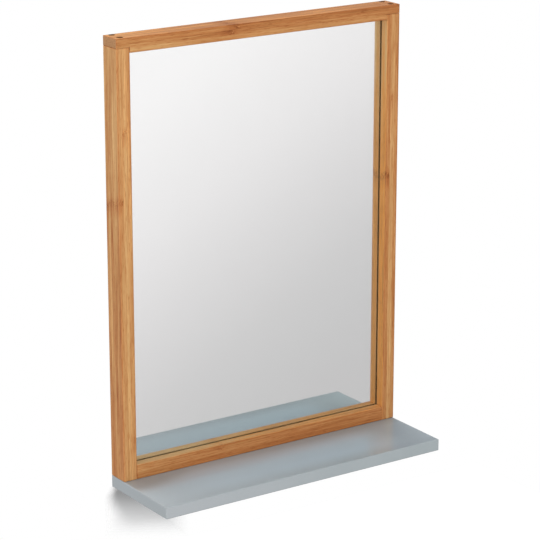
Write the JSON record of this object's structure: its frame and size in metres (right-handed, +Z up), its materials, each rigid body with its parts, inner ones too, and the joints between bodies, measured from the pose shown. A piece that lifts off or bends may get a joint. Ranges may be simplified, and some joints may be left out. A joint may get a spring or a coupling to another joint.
{
  "type": "wall mirror with shelf",
  "caption": "Upright wall mirror in a frame of bamboo bars, standing on a painted shelf board of the same width that reaches forward past the frame.",
  "frame": {"origin": "midway between the entry holes of the two hanger plates, on the wall plane", "axes": "+Z up, +X to the right as seen from the front, +Y into the wall; the mirror faces -Y. The shelf's top face is at z = -0.450 m"},
  "size_m": [0.4, 0.125, 0.55],
  "materials": {
    "bamboo": "laminated bamboo, satin lacquer",
    "silvered_glass": "polished, silvered behind",
    "hardboard": "pressed board, matt",
    "foam_tape": "closed cell foam",
    "rubber_pad": "matt",
    "shelf_paint": "fibreboard, blue-grey paint, satin",
    "screw_steel": "zinc plated",
    "plate_steel": "zinc plated, brushed",
    "dowel_wood": "plain"
  },
  "bodies": {
    "root": {"top_rail": "bamboo", "left_stile": "bamboo", "right_stile": "bamboo", "bottom_rail": "bamboo", "mirror_pane": "silvered_glass", "backing_board": "hardboard", "left_mounting_tape": "foam_tape", "middle_mounting_tape": "foam_tape", "right_mounting_tape": "foam_tape", "left_setting_pad": "rubber_pad", "right_setting_pad": "rubber_pad", "shelf_board": "shelf_paint", "left_top_screws": "screw_steel", "right_top_screws": "screw_steel", "left_rail_dowels": "dowel_wood", "right_rail_dowels": "dowel_wood", "left_shelf_screw": "screw_steel", "right_shelf_screw": "screw_steel", "rail_shelf_screws": "screw_steel", "left_hanger_plate": "plate_steel", "right_hanger_plate": "plate_steel", "left_hanger_screws": "screw_steel", "right_hanger_screws": "screw_steel"}
  },
  "joints": []
}
